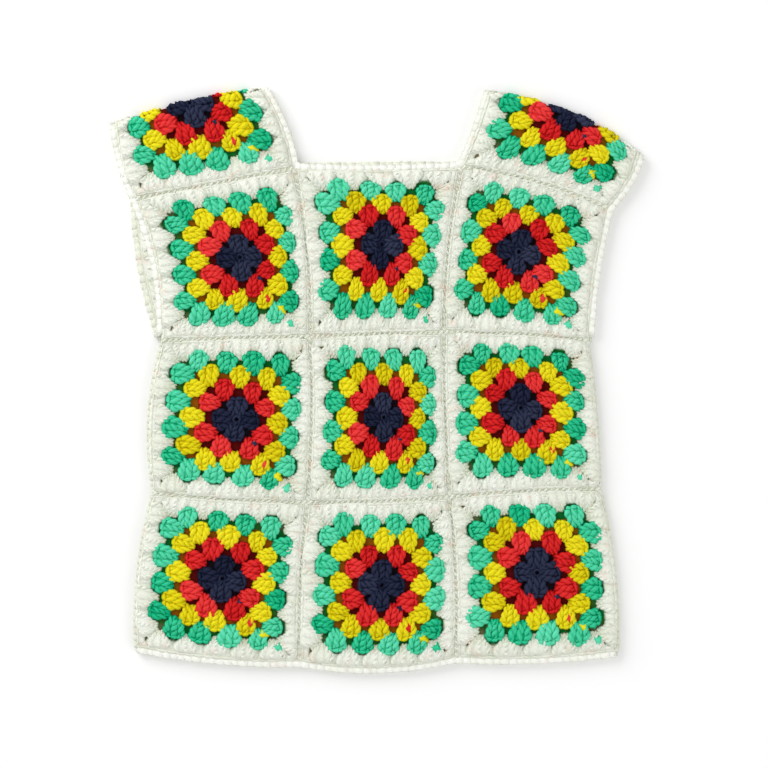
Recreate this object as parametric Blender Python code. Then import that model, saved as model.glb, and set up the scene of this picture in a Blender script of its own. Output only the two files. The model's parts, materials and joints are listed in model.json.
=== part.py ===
"""A child's sleeveless vest crocheted in granny squares, laid flat on its back.

+Z is up, +Y runs from hem to neck, and left and right are as seen from above.
Tables and functions work in millimetres, and the meshes are in metres.
"""

import math
from collections import namedtuple

import bmesh
import bpy
from mathutils import Vector

MM = 0.001

# One granny square: five rounds of clusters
CLUSTER_STEP = 10.3
ROUNDS = 5
SQUARE_HALF = 57.5
ROUND_REACH = {"navy": 18.0, "red": 28.5, "yellow": 39.0, "green": 49.5, "white": 57.5}

# Cloth
WALL = 2.8
LAYER_GAP = 0.4
SEAM_GAP = 0.3
RELIEF = 1.6
RIM_RELIEF = 0.7
EDGING_WIDTH = 4.2
EDGING_THICKNESS = 2.8

BACK_HEIGHT = WALL / 2
FRONT_HEIGHT = 1.5 * WALL + LAYER_GAP
FOLD_RADIUS = (FRONT_HEIGHT - BACK_HEIGHT) / 2
FOLD_HEIGHT = (FRONT_HEIGHT + BACK_HEIGHT) / 2
FOLD_ARC = FOLD_RADIUS * math.pi / 2
SHOULDER_REACH = SQUARE_HALF - FOLD_ARC + FOLD_RADIUS

# Where the middle of the laid vest lies in the tables below
CENTRE = Vector((-0.2, 0.9))

# Corners where squares meet. Line 0 is the left side, and level 0 is the neck.
Corner = namedtuple("Corner", "line level x y")
CORNERS = (
    Corner(0, 0, -180.5, 134),
    Corner(1, 0, -63, 156.5),
    Corner(2, 0, 61, 157.5),
    Corner(3, 0, 169.8, 127),
    Corner(0, 1, -161, 29),
    Corner(1, 1, -51, 32),
    Corner(2, 1, 48, 35),
    Corner(3, 1, 155.5, 29),
    Corner(0, 2, -168, -84),
    Corner(1, 2, -53, -91),
    Corner(2, 2, 52, -87),
    Corner(3, 2, 164.5, -81),
    Corner(0, 3, -181, -198.2),
    Corner(1, 3, -59, -209),
    Corner(2, 3, 57, -206),
    Corner(3, 3, 177.3, -201.3),
)

# How far the middle of each edge of a square bends off the straight line
Upright = namedtuple("Upright", "line row front back")
UPRIGHTS = (
    Upright(0, 1, 6.3, -4.2),
    Upright(0, 2, -6.5, -6.5),
    Upright(0, 3, -4.5, -4.5),
    Upright(1, 1, 3.6, 2.0),
    Upright(1, 2, 1.9, 1.0),
    Upright(1, 3, -2.2, -1.0),
    Upright(2, 1, -3.3, -2.0),
    Upright(2, 2, -1.1, -1.0),
    Upright(2, 3, 2.2, 1.0),
    Upright(3, 1, -2.7, -2.7),
    Upright(3, 2, 1.8, 1.8),
    Upright(3, 3, 4.3, 4.3),
)
Level = namedtuple("Level", "level column front back")
LEVELS = (
    Level(0, 1, 0.0, 0.0),
    Level(0, 2, -1.9, 0.5),
    Level(0, 3, 4.8, 4.8),
    Level(1, 1, 0.3, 0.0),
    Level(1, 2, 0.0, 0.0),
    Level(1, 3, 1.9, 1.0),
    Level(2, 1, -1.1, -0.5),
    Level(2, 2, -1.1, -0.5),
    Level(2, 3, 1.5, 0.5),
    Level(3, 1, -3.4, -3.4),
    Level(3, 2, -6.2, -6.2),
    Level(3, 3, -2.9, -2.9),
)

# Where the navy middle of each square lies
Middle = namedtuple("Middle", "row column x y")
MIDDLES = (
    Middle(1, 1, -103, 90.5),
    Middle(1, 2, 2, 100),
    Middle(1, 3, 103.5, 94.5),
    Middle(2, 1, -105.5, -29.5),
    Middle(2, 2, 3.5, -28),
    Middle(2, 3, 105, -21),
    Middle(3, 1, -116, -147.5),
    Middle(3, 2, 2, -152),
    Middle(3, 3, 117, -143),
)

# The fold over each shoulder, from its left end to its right end
Fold = namedtuple("Fold", "name column x1 y1 x2 y2 rise left_bend right_bend shift")
FOLDS = (
    Fold("left", 1, -195.8, 190.0, -85.5, 215.5, 3.3, -2.4, 3.4, 0.0),
    Fold("right", 3, 81.5, 213.5, 193.2, 167.5, 7.2, 1.3, 3.5, 5.0),
)

# Soft swells of the front cloth
Swell = namedtuple("Swell", "name x y half_width half_length height")
SWELLS = (
    Swell("left chest", -105, 90, 42, 42, 1.1),
    Swell("middle chest", -2, 100, 36, 40, 1.6),
    Swell("right chest", 106, 95, 40, 42, 1.2),
    Swell("left waist", -112, -28, 40, 46, 1.5),
    Swell("middle waist", -6, -28, 35, 52, 2.5),
    Swell("right waist", 114, -24, 36, 46, 1.7),
    Swell("left hem", -114, -146, 44, 40, 1.4),
    Swell("middle hem", 4, -150, 42, 42, 1.8),
    Swell("right hem", 120, -142, 42, 42, 1.5),
    Swell("left shoulder", -132, 186, 44, 18, 1.3),
    Swell("right shoulder", 131, 178, 44, 18, 1.3),
)

COLOURS = {
    "navy": (0.013, 0.019, 0.055),
    "red": (0.72, 0.02, 0.03),
    "yellow": (0.82, 0.70, 0.01),
    "green": (0.03, 0.58, 0.30),
    "white": (0.85, 0.86, 0.77),
}
YARN_ROUGHNESS = 0.85
SHARP_ANGLE = math.radians(60)

# Grid lines across a square, through the clusters, and every second one of them
RIM = SQUARE_HALF - SEAM_GAP / 2
FINE = [-RIM, *(n * CLUSTER_STEP for n in range(-ROUNDS, ROUNDS + 1)), RIM]
COARSE = FINE[::2]

# The edges of a square, as outward directions in its own x and y
UP, DOWN, LEFT, RIGHT = (0, 1), (0, -1), (-1, 0), (1, 0)


def shape_patch(corners, bends, middle=None):
    """A map from u, v (each -1 to 1) to the plane.

    corners are lower left, lower right, upper left and upper right, and bends are
    those of the lower, upper, left and right edges.
    """
    ll, lr, ul, ur = (Vector(c) for c in corners)
    low, high, left, right = (Vector(b) for b in bends)

    def edge(start, end, bend, s):
        return start.lerp(end, (1 + s) / 2) + bend * (1 - s * s)

    def blend(u, v):
        level = edge(ll, lr, low, u).lerp(edge(ul, ur, high, u), (1 + v) / 2)
        upright = edge(ll, ul, left, v).lerp(edge(lr, ur, right, v), (1 + u) / 2)
        straight = ll.lerp(lr, (1 + u) / 2).lerp(ul.lerp(ur, (1 + u) / 2), (1 + v) / 2)
        return level + upright - straight

    shift = Vector(middle) - blend(0, 0) if middle else Vector((0, 0))
    return lambda u, v: blend(u, v) + shift * (1 - u * u) * (1 - v * v) - CENTRE


def square_patch(row, column, layer):
    """The map of the square in this row and column of the front or the back."""
    at = {(c.line, c.level): (c.x, c.y) for c in CORNERS}
    upright = {(s.line, s.row): (getattr(s, layer), 0) for s in UPRIGHTS}
    level = {(s.level, s.column): (0, getattr(s, layer)) for s in LEVELS}
    middle = {(m.row, m.column): (m.x, m.y) for m in MIDDLES}
    lines = (column - 1, column)
    return shape_patch(
        [at[line, end] for end in (row, row - 1) for line in lines],
        [
            level[row, column],
            level[row - 1, column],
            *(upright[line, row] for line in lines),
        ],
        middle[row, column],
    )


def shoulder_patch(fold):
    """The map of half a shoulder square, from its seam to its fold."""
    at = {(c.line, c.level): (c.x, c.y) for c in CORNERS}
    seam = {s.column: s.front for s in LEVELS if s.level == 0}
    patch = shape_patch(
        [
            at[fold.column - 1, 0],
            at[fold.column, 0],
            (fold.x1, fold.y1),
            (fold.x2, fold.y2),
        ],
        [
            (0, seam[fold.column]),
            (0, fold.rise),
            (fold.left_bend, 0),
            (fold.right_bend, 0),
        ],
    )
    shift = Vector((fold.shift, 0))
    return lambda u, v: patch(u, v) + shift * (1 - u**2) * (1 - u**4) * (1 - (1 - v) ** 2 / 4)


def swell_at(point):
    """How far the front cloth rises over this point of the plane."""
    rise = 0
    for s in SWELLS:
        across = (point.x + CENTRE.x - s.x) / s.half_width
        along = (point.y + CENTRE.y - s.y) / s.half_length
        rise += s.height * math.exp(-across * across - along * along)
    return rise


def flat_cloth(patch, layer):
    """The middle of the cloth of a front or back square, x and y from its centre."""

    def middle(x, y):
        spot = patch(x / SQUARE_HALF, y / SQUARE_HALF)
        if layer == "front":
            return Vector((spot.x, spot.y, FRONT_HEIGHT + swell_at(spot)))
        return Vector((spot.x, spot.y, BACK_HEIGHT))

    return middle


def folded_cloth(patch):
    """The middle of a shoulder square's cloth, y running from the front seam over the fold."""

    def middle(x, y):
        turn = min(abs(y) / FOLD_RADIUS, math.pi / 2)
        flat = max(abs(y) - FOLD_ARC, 0)
        from_fold = FOLD_RADIUS * (1 - math.cos(turn)) + flat
        spot = patch(x / SQUARE_HALF, 1 - 2 * from_fold / SHOULDER_REACH)
        side = math.copysign(math.sin(turn), -y)
        rise = side * FOLD_RADIUS + max(side, 0) * swell_at(spot)
        return Vector((spot.x, spot.y, FOLD_HEIGHT + rise))

    return middle


def outward(middle, x, y, facing=1):
    """The direction off the cloth's outer face."""
    step = 0.25
    across = middle(x + step, y) - middle(x - step, y)
    along = middle(x, y + step) - middle(x, y - step)
    return across.cross(along).normalized() * facing


def cluster_relief(x, y):
    """Clusters and the holes between them alternate on the grid, and the rim is even."""
    if max(abs(x), abs(y)) > ROUNDS * CLUSTER_STEP + 1:
        return RIM_RELIEF
    odd = (round(x / CLUSTER_STEP) + round(y / CLUSTER_STEP)) % 2
    return RELIEF * odd


def colour_of(x, y):
    """The round that this place in a square belongs to."""
    reach = max(abs(x), abs(y))
    return next((name for name, end in ROUND_REACH.items() if reach < end), "white")


def make_materials():
    made = {}
    for name, colour in COLOURS.items():
        material = bpy.data.materials.new(f"{name}_yarn")
        material.use_nodes = True
        shader = material.node_tree.nodes["Principled BSDF"]
        shader.inputs["Base Color"].default_value = (*colour, 1)
        shader.inputs["Roughness"].default_value = YARN_ROUGHNESS
        shader.inputs["Metallic"].default_value = 0
        made[name] = material
    return made


def add_object(name, mesh, location, colours, materials, parent):
    """Stores a closed mesh in metres as a named object."""
    bmesh.ops.recalc_face_normals(mesh, faces=mesh.faces)
    data = bpy.data.meshes.new(name)
    mesh.to_mesh(data)
    mesh.free()
    for colour in colours:
        data.materials.append(materials[colour])
    data.shade_smooth()
    data.set_sharp_from_angle(angle=SHARP_ANGLE)
    made = bpy.data.objects.new(name, data)
    made.location = location
    made.parent = parent
    bpy.context.collection.objects.link(made)
    return made


def add_sheet(mesh, points, xs, ys, colours, split):
    """Faces between a grid of vertices, each quad split along its ridge if asked."""
    for i in range(len(xs) - 1):
        for j in range(len(ys) - 1):
            quad = [points[i, j], points[i + 1, j], points[i + 1, j + 1], points[i, j + 1]]
            index = colours.index(colour_of((xs[i] + xs[i + 1]) / 2, (ys[j] + ys[j + 1]) / 2))
            parts = [quad]
            if split and (i + j) % 2:
                parts = [quad[:3], [quad[2], quad[3], quad[0]]]
            elif split:
                parts = [quad[1:], [quad[3], quad[0], quad[1]]]
            for part in parts:
                mesh.faces.new(part).material_index = index


def ring_of(points, xs, ys):
    """The four sides of a grid, each a list of vertices, going round."""
    last_x, last_y = len(xs) - 1, len(ys) - 1
    return [
        [points[i, 0] for i in range(last_x + 1)],
        [points[last_x, j] for j in range(last_y + 1)],
        [points[i, last_y] for i in range(last_x, -1, -1)],
        [points[0, j] for j in range(last_y, -1, -1)],
    ]


def wall(name, middle, outer_lines, inner_lines, relief, facing, materials, parent):
    """A piece of cloth: an outer face with its stitches, a plain inner face and a rim."""
    colours = list(ROUND_REACH)
    origin = middle(0, 0) * MM
    mesh = bmesh.new()
    rings = []
    for lines, side in ((outer_lines, 1), (inner_lines, -1)):
        xs, ys = lines
        points = {}
        for i, x in enumerate(xs):
            for j, y in enumerate(ys):
                off = WALL / 2 + (relief(x, y) if side > 0 else 0)
                spot = middle(x, y) + outward(middle, x, y, facing) * off * side
                points[i, j] = mesh.verts.new(spot * MM - origin)
        add_sheet(mesh, points, xs, ys, colours, side > 0 and relief is not flat_relief)
        rings.append(ring_of(points, xs, ys))
    for fine, plain in zip(*rings):
        every = (len(fine) - 1) // (len(plain) - 1)
        for k in range(len(plain) - 1):
            top = fine[k * every : (k + 1) * every + 1]
            mesh.faces.new([*top, plain[k + 1], plain[k]]).material_index = colours.index("white")
    return add_object(name, mesh, origin, colours, materials, parent)


def flat_relief(x, y):
    return 0


def shoulder_relief(x, y):
    """Stitches on the half that lies on top, smoothed away past the fold."""
    if y > FOLD_ARC:
        return 0
    fade = 1 if y < 0 else 1 - y / FOLD_ARC
    return cluster_relief(x, y if y < -FOLD_ARC - 1 else 0) * fade


# A place along an edging: a point on the panel's edge, the way across the strip and off the cloth
Station = namedtuple("Station", "edge across off")


def edge_stations(middle, side, places, facing=1):
    """Stations along one edge of a panel. side is the outward direction in the panel's x, y."""
    found = []
    for place in places:
        x = side[0] * SQUARE_HALF if side[0] else place
        y = side[1] * SQUARE_HALF if side[1] else place
        edge = middle(x, y)
        across = (middle(x + side[0], y + side[1]) - edge).normalized()
        found.append(Station(edge, across, outward(middle, x, y, facing)))
    return found


def mitre(before, after):
    """The station at a corner between two stretches, wide enough to reach both of them."""
    across = (before.across + after.across) / (1 + before.across.dot(after.across))
    off = (before.off + after.off).normalized()
    return Station((before.edge + after.edge) / 2, across, off)


def side_turn(last, towards, going_down):
    """Stations round the side, from one layer to the other."""
    angles = [math.radians(a) for a in (60, 20, -20, -60)]
    hinge = Vector((last.edge.x, last.edge.y, FOLD_HEIGHT))
    found = []
    for angle in angles if going_down else reversed(angles):
        off = towards * math.cos(angle) + Vector((0, 0, 1)) * math.sin(angle)
        found.append(Station(hinge + off * FOLD_RADIUS, last.across, off))
    return found


# The strip's section: across it from the panel, and off the cloth
EDGING_SECTION = ((0, -1), (0, 1), (0.7, 1), (1, 0.35), (1, -0.35), (0.7, -1))


def edging(name, stations, materials, parent):
    """A closed loop of edging swept along its stations."""
    mesh = bmesh.new()
    origin = sum((s.edge for s in stations), Vector()) / len(stations) * MM
    rings = []
    for s in stations:
        ring = []
        for across, off in EDGING_SECTION:
            reach = s.across * (SEAM_GAP / 2 + across * EDGING_WIDTH)
            spot = s.edge + reach + s.off * off * EDGING_THICKNESS / 2
            ring.append(mesh.verts.new(spot * MM - origin))
        rings.append(ring)
    for k, ring in enumerate(rings):
        following = rings[(k + 1) % len(rings)]
        for m in range(len(ring)):
            n = (m + 1) % len(ring)
            mesh.faces.new((ring[m], ring[n], following[n], following[m]))
    return add_object(name, mesh, origin, ["white"], materials, parent)


def shoulder_lines():
    """Grid lines along a shoulder square: the front half, the fold and a plain back half."""
    front = [y for y in FINE if y < -FOLD_ARC - 1]
    fold = [FOLD_ARC * k / 2 for k in range(-2, 3)]
    back = [y for y in COARSE if y > FOLD_ARC + 1]
    return front + fold + back


def make_squares(materials, vest):
    """The nine squares of the front and of the back, and the middle of each one's cloth."""
    cloth = {}
    fine, plain = (FINE, FINE), (COARSE, COARSE)
    for layer, outer, relief, facing in (
        ("front", fine, cluster_relief, 1),
        ("back", plain, flat_relief, -1),
    ):
        for row in (1, 2, 3):
            for column in (1, 2, 3):
                name = f"{layer}_r{row}c{column}"
                middle = flat_cloth(square_patch(row, column, layer), layer)
                wall(name, middle, outer, plain, relief, facing, materials, vest)
                cloth[layer, row, column] = middle
    return cloth


def make_shoulders(materials, vest):
    """The two folded squares, and the middle of each one's cloth."""
    straps = {}
    lines = (FINE, shoulder_lines())
    for fold in FOLDS:
        middle = folded_cloth(shoulder_patch(fold))
        wall(f"shoulder_{fold.name}", middle, lines, lines, shoulder_relief, 1, materials, vest)
        straps[fold.name] = middle
    return straps


def corner(panel, side, place, facing, strap, strap_side):
    """The station where a front or back edge meets the edge of a shoulder square."""
    strap_place = -SQUARE_HALF if facing > 0 else SQUARE_HALF
    before = edge_stations(panel, side, [place], facing)[0]
    return mitre(before, edge_stations(strap, strap_side, [strap_place])[0])


def make_neck_edging(cloth, straps, materials, vest):
    """Along the front, over the right shoulder, along the back and over the left shoulder."""
    places, over = FINE[1:-1], shoulder_lines()[1:-1]
    front, back = cloth["front", 1, 2], cloth["back", 1, 2]
    left, right = straps["left"], straps["right"]
    stations = [
        *edge_stations(front, UP, places),
        corner(front, UP, SQUARE_HALF, 1, right, LEFT),
        *edge_stations(right, LEFT, over),
        corner(back, UP, SQUARE_HALF, -1, right, LEFT),
        *edge_stations(back, UP, places[::-1], -1),
        corner(back, UP, -SQUARE_HALF, -1, left, RIGHT),
        *edge_stations(left, RIGHT, over[::-1]),
        corner(front, UP, -SQUARE_HALF, 1, left, RIGHT),
    ]
    edging("neck_edging", stations, materials, vest)


def make_armhole_edging(name, column, side, cloth, straps, materials, vest):
    """Up the front edge, over the shoulder, down the back edge and round the underarm."""
    places, over = FINE[1:-1], shoulder_lines()[1:-1]
    front, back, strap = cloth["front", 1, column], cloth["back", 1, column], straps[name]
    stations = [
        *edge_stations(front, side, places),
        corner(front, side, SQUARE_HALF, 1, strap, side),
        *edge_stations(strap, side, over),
        corner(back, side, SQUARE_HALF, -1, strap, side),
        *edge_stations(back, side, places[::-1], -1),
    ]
    stations += side_turn(stations[-1], Vector((0, -1, 0)), False)
    edging(f"armhole_edging_{name}", stations, materials, vest)


def make_hem_edging(cloth, materials, vest):
    """Along the front hem, round the right side, back along the back hem and round the left."""
    end = SQUARE_HALF - FOLD_RADIUS - EDGING_THICKNESS / 2
    inside = FINE[1:-1]
    places = {1: [-end, *inside, SQUARE_HALF], 2: [*inside, SQUARE_HALF], 3: [*inside, end]}
    stations = []
    for column in (1, 2, 3):
        stations += edge_stations(cloth["front", 3, column], DOWN, places[column])
    stations += side_turn(stations[-1], Vector((1, 0, 0)), True)
    for column in (3, 2, 1):
        stations += edge_stations(cloth["back", 3, column], DOWN, places[column][::-1], -1)
    stations += side_turn(stations[-1], Vector((-1, 0, 0)), False)
    edging("hem_edging", stations, materials, vest)


def main():
    for old in list(bpy.data.objects):
        bpy.data.objects.remove(old, do_unlink=True)
    materials = make_materials()
    vest = bpy.data.objects.new("vest", None)
    bpy.context.collection.objects.link(vest)
    cloth = make_squares(materials, vest)
    straps = make_shoulders(materials, vest)
    make_neck_edging(cloth, straps, materials, vest)
    make_armhole_edging("left", 1, LEFT, cloth, straps, materials, vest)
    make_armhole_edging("right", 3, RIGHT, cloth, straps, materials, vest)
    make_hem_edging(cloth, materials, vest)


main()
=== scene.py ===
"""Dresses the laid crochet vest: its cloth, every cluster, the chain stitches and the edging."""

import json
import math
from collections import namedtuple

import bmesh
import bpy
import numpy as np
from bpy.props import FloatProperty, FloatVectorProperty, IntProperty, PointerProperty
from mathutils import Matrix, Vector

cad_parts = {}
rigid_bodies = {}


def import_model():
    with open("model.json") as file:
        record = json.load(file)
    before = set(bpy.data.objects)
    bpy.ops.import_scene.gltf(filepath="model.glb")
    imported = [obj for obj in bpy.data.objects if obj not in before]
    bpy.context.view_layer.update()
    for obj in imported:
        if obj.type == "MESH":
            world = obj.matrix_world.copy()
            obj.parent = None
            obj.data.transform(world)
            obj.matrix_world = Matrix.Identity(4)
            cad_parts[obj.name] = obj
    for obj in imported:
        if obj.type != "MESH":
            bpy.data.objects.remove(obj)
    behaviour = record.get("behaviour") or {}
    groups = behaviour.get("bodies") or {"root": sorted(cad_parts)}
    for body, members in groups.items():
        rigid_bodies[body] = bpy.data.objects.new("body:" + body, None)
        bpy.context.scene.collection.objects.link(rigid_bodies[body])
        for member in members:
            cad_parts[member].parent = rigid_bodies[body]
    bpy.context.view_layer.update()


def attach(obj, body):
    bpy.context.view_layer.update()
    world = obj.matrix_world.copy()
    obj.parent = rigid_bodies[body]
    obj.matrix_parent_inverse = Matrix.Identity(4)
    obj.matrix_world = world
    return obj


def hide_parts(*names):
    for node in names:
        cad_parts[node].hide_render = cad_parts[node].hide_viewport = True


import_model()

bl_info = {
    "name": "Granny Square Vest",
    "version": (1, 0, 0),
    "blender": (4, 5, 0),
    "location": "View3D > Sidebar > Crochet",
    "description": "Crochets a laid granny square vest over its packed solids",
    "category": "Mesh",
}

MM = 0.001
BODY = "root"

# The rounds of one granny square, from its centre
ROUNDS = {"navy": 1, "red": 2, "yellow": 3, "green": 4, "white": 5}
# How far apart the squares' charts lie while their stitches are worked, in millimetres
CHART_PITCH = 4000.0

# The laid cloth, as in the solids: corners of the grid of squares, how far its lines bow,
# the squares' middles, the shoulders' folds and where the front swells, in millimetres
CENTRE = (-0.2, 0.9)
Corner = namedtuple("Corner", "line level x y")
CORNERS = (
    Corner(0, 0, -180.5, 134),
    Corner(1, 0, -63, 156.5),
    Corner(2, 0, 61, 157.5),
    Corner(3, 0, 169.8, 127),
    Corner(0, 1, -161, 29),
    Corner(1, 1, -51, 32),
    Corner(2, 1, 48, 35),
    Corner(3, 1, 155.5, 29),
    Corner(0, 2, -168, -84),
    Corner(1, 2, -53, -91),
    Corner(2, 2, 52, -87),
    Corner(3, 2, 164.5, -81),
    Corner(0, 3, -181, -198.2),
    Corner(1, 3, -59, -209),
    Corner(2, 3, 57, -206),
    Corner(3, 3, 177.3, -201.3),
)
Upright = namedtuple("Upright", "line row front back")
UPRIGHTS = (
    Upright(0, 1, 6.3, -4.2),
    Upright(0, 2, -6.5, -6.5),
    Upright(0, 3, -4.5, -4.5),
    Upright(1, 1, 3.6, 2.0),
    Upright(1, 2, 1.9, 1.0),
    Upright(1, 3, -2.2, -1.0),
    Upright(2, 1, -3.3, -2.0),
    Upright(2, 2, -1.1, -1.0),
    Upright(2, 3, 2.2, 1.0),
    Upright(3, 1, -2.7, -2.7),
    Upright(3, 2, 1.8, 1.8),
    Upright(3, 3, 4.3, 4.3),
)
Level = namedtuple("Level", "level column front back")
LEVELS = (
    Level(0, 1, 0.0, 0.0),
    Level(0, 2, -1.9, 0.5),
    Level(0, 3, 4.8, 4.8),
    Level(1, 1, 0.3, 0.0),
    Level(1, 2, 0.0, 0.0),
    Level(1, 3, 1.9, 1.0),
    Level(2, 1, -1.1, -0.5),
    Level(2, 2, -1.1, -0.5),
    Level(2, 3, 1.5, 0.5),
    Level(3, 1, -3.4, -3.4),
    Level(3, 2, -6.2, -6.2),
    Level(3, 3, -2.9, -2.9),
)
Middle = namedtuple("Middle", "row column x y")
MIDDLES = (
    Middle(1, 1, -103, 90.5),
    Middle(1, 2, 2, 100),
    Middle(1, 3, 103.5, 94.5),
    Middle(2, 1, -105.5, -29.5),
    Middle(2, 2, 3.5, -28),
    Middle(2, 3, 105, -21),
    Middle(3, 1, -116, -147.5),
    Middle(3, 2, 2, -152),
    Middle(3, 3, 117, -143),
)
Fold = namedtuple("Fold", "name column x1 y1 x2 y2 rise left_bend right_bend shift")
FOLDS = (
    Fold("left", 1, -195.8, 190.0, -85.5, 215.5, 3.3, -2.4, 3.4, 0.0),
    Fold("right", 3, 81.5, 213.5, 193.2, 167.5, 7.2, 1.3, 3.5, 5.0),
)
# Where in each shoulder square's chart its fold lies
FOLDED_AT = {"left": 1.8, "right": -1.5}
Swell = namedtuple("Swell", "name x y half_width half_length height")
SWELLS = (
    Swell("left chest", -105, 90, 42, 42, 1.1),
    Swell("middle chest", -2, 100, 36, 40, 1.6),
    Swell("right chest", 106, 95, 40, 42, 1.2),
    Swell("left waist", -112, -28, 40, 46, 1.5),
    Swell("middle waist", -6, -28, 35, 52, 2.5),
    Swell("right waist", 114, -24, 36, 46, 1.7),
    Swell("left hem", -114, -146, 44, 40, 1.4),
    Swell("middle hem", 4, -150, 42, 42, 1.8),
    Swell("right hem", 120, -142, 42, 42, 1.5),
    Swell("left shoulder", -132, 186, 44, 18, 1.3),
    Swell("right shoulder", 131, 178, 44, 18, 1.3),
)

# The photograph's frame on the floor
PHOTO_FIELD = 0.570
PHOTO_MIDDLE = (0.0039, -0.0042)
CAMERA_HEIGHT = 3.0
SENSOR = 36.0

UP, DOWN, LEFT, RIGHT = (0, 1), (0, -1), (-1, 0), (1, 0)


def length(name, description, default):
    return FloatProperty(name=name, description=description, default=default)


def colour(name, description, default):
    return FloatVectorProperty(
        name=name, description=description, subtype="COLOR", default=default
    )


class VestSizes(bpy.types.PropertyGroup):
    square_half: length("Half a Square", "From a square's centre to its side", 57.5)
    cluster_step: length("Cluster Step", "From one round to the next", 10.3)
    wall: length("Cloth", "Thickness of the cloth", 2.8)
    layer_gap: length("Layer Gap", "Air between front and back", 0.4)
    loft: length("Loft", "How far stitches stand off the middle of the cloth", 3.0)
    flat_loft: length("Flat Loft", "The same where the vest rests on the ground", 1.36)
    strand: length("Yarn", "Radius of a strand of yarn", 1.12)
    chain_inset: length("Chain Inset", "From a square's side to its last chain", 3.0)
    chain_link: length("Chain Link", "Length of one chain stitch", 6.4)
    edging_width: length("Edging", "Width of the edging", 4.2)
    seed: IntProperty(name="Seed", description="Seed of the handmade unevenness", default=7)


class VestColours(bpy.types.PropertyGroup):
    navy: colour("Navy", "First round", (0.008, 0.012, 0.038))
    red: colour("Red", "Second round", (0.70, 0.012, 0.014))
    yellow: colour("Yellow", "Third round", (0.76, 0.66, 0.003))
    green: colour("Green", "Fourth round", (0.003, 0.54, 0.26))
    white: colour("White", "Last round and seams", (0.805, 0.83, 0.725))
    # Painted light: the rims' white is painted lighter, for the light their edges catch
    edging: colour("Edging", "The rims, worked last and cleaner", (0.91, 0.93, 0.835))


class Socket:
    """A node's output that maths can be written with."""

    def __init__(self, tree, link):
        self.tree, self.link = tree, link

    def math(self, operation, *others):
        values = {0: self, **dict(enumerate(others, 1))}
        return self.tree.add("ShaderNodeMath", {"operation": operation}, values)

    def clipped(self):
        return self.math("MAXIMUM", 0.0).math("MINIMUM", 1.0)

    def __add__(self, other):
        return self.math("ADD", other)

    def __mul__(self, other):
        return self.math("MULTIPLY", other)

    def __sub__(self, other):
        return self.math("SUBTRACT", other)

    def __rsub__(self, other):
        return self * -1 + other


class Tree:
    """Adds nodes to a tree, each from its type, its settings and its sockets' values."""

    def __init__(self, nodes):
        self.nodes = nodes

    def fill(self, node, values):
        """Gives a node's sockets their links or values."""
        for key, value in values.items():
            if isinstance(value, Socket):
                self.nodes.links.new(value.link, node.inputs[key])
            else:
                node.inputs[key].default_value = value

    def add(self, kind, settings=None, values=None, output=0):
        node = self.nodes.nodes.new(kind)
        for name, value in (settings or {}).items():
            setattr(node, name, value)
        self.fill(node, values or {})
        return Socket(self, node.outputs[output]) if node.outputs else node

    def axis(self, vector, k):
        return self.add("ShaderNodeSeparateXYZ", {}, {0: vector}, k)

    def attribute(self, name):
        return self.add("ShaderNodeAttribute", {"attribute_name": name}, {}, 2)

    def chart(self):
        """The map along and round each strand, or over each square of cloth."""
        return self.add("ShaderNodeUVMap", {"uv_map": "yarn"})

    def place(self):
        return self.add("ShaderNodeTexCoord", {}, {}, 3)

    def noise(self, place, scale, detail):
        values = {"Vector": place, "Scale": scale, "Detail": detail}
        return self.add("ShaderNodeTexNoise", {}, values)

    def bump(self, height, distance):
        values = {"Height": height, "Strength": 0.8, "Distance": distance}
        return self.add("ShaderNodeBump", {}, values)

    def mix(self, factor, first, second):
        """A colour between two colours."""
        values = {0: factor, 6: opaque(first), 7: opaque(second)}
        return self.add("ShaderNodeMix", {"data_type": "RGBA"}, values, 2)


def opaque(colour):
    return colour if isinstance(colour, Socket) else (*colour[:3], 1)


def start_material(name):
    """A new material, its shader and its tree."""
    material = bpy.data.materials.new(name)
    material.use_nodes = True
    tree = Tree(material.node_tree)
    return material, material.node_tree.nodes["Principled BSDF"], tree


# How many plies twist into a strand, and how many turns they make in a millimetre
PLIES = 3
PLIES_PER_MM = 0.11


def yarn_material(name, look):
    """Soft plied yarn: plies wind round the strand, with loose fibres along them."""
    material, shader, t = start_material(name)
    along, around = (t.axis(t.chart(), k) for k in (0, 1))
    lay = along * PLIES_PER_MM + around
    ply = (lay * (2 * math.pi * PLIES)).math("SINE") * 0.5 + 0.5
    grain = t.add("ShaderNodeCombineXYZ", {}, {0: lay * 14, 1: along * 0.35, 2: around})
    fibres = t.noise(grain, 3.0, 2.0)
    patches = t.noise(t.place(), 110.0, 2.0)
    fuzz = t.noise(t.place(), 1900.0, 3.0)
    shade, depth = t.attribute("shade"), t.attribute("depth")
    # Painted light and shade: strands that stand proud are painted lighter, and the hollows between
    # them are painted in shade
    lit = depth.math("POWER", 2.0) * 0.9 + ply * 0.12 + fibres * 0.4 + (shade - 0.5) * 0.7 - 0.72
    body = t.mix(lit.clipped(), look.colour, look.light)
    hollow = (1 - depth) * 1.05 + (1 - ply) * 0.08 + patches * 0.6 - (shade - 0.5) * 0.5 - 0.45
    tone = t.mix(hollow.clipped(), body, look.shadow)
    if look.fleck:
        tone = t.mix(((patches - 0.58) * 5).clipped() * 0.6, tone, look.fleck)
    relief = ply * 0.3 + fibres * 0.25 + fuzz * 0.4
    t.fill(shader, {
        "Base Color": tone,
        "Roughness": fibres * 0.2 + 0.72,
        "Normal": t.bump(relief, 0.0004),
        "Sheen Weight": 0.08,
        "Sheen Roughness": 0.45,
        "Sheen Tint": opaque(look.light),
        "Specular IOR Level": 0.1,
    })
    return material


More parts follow.
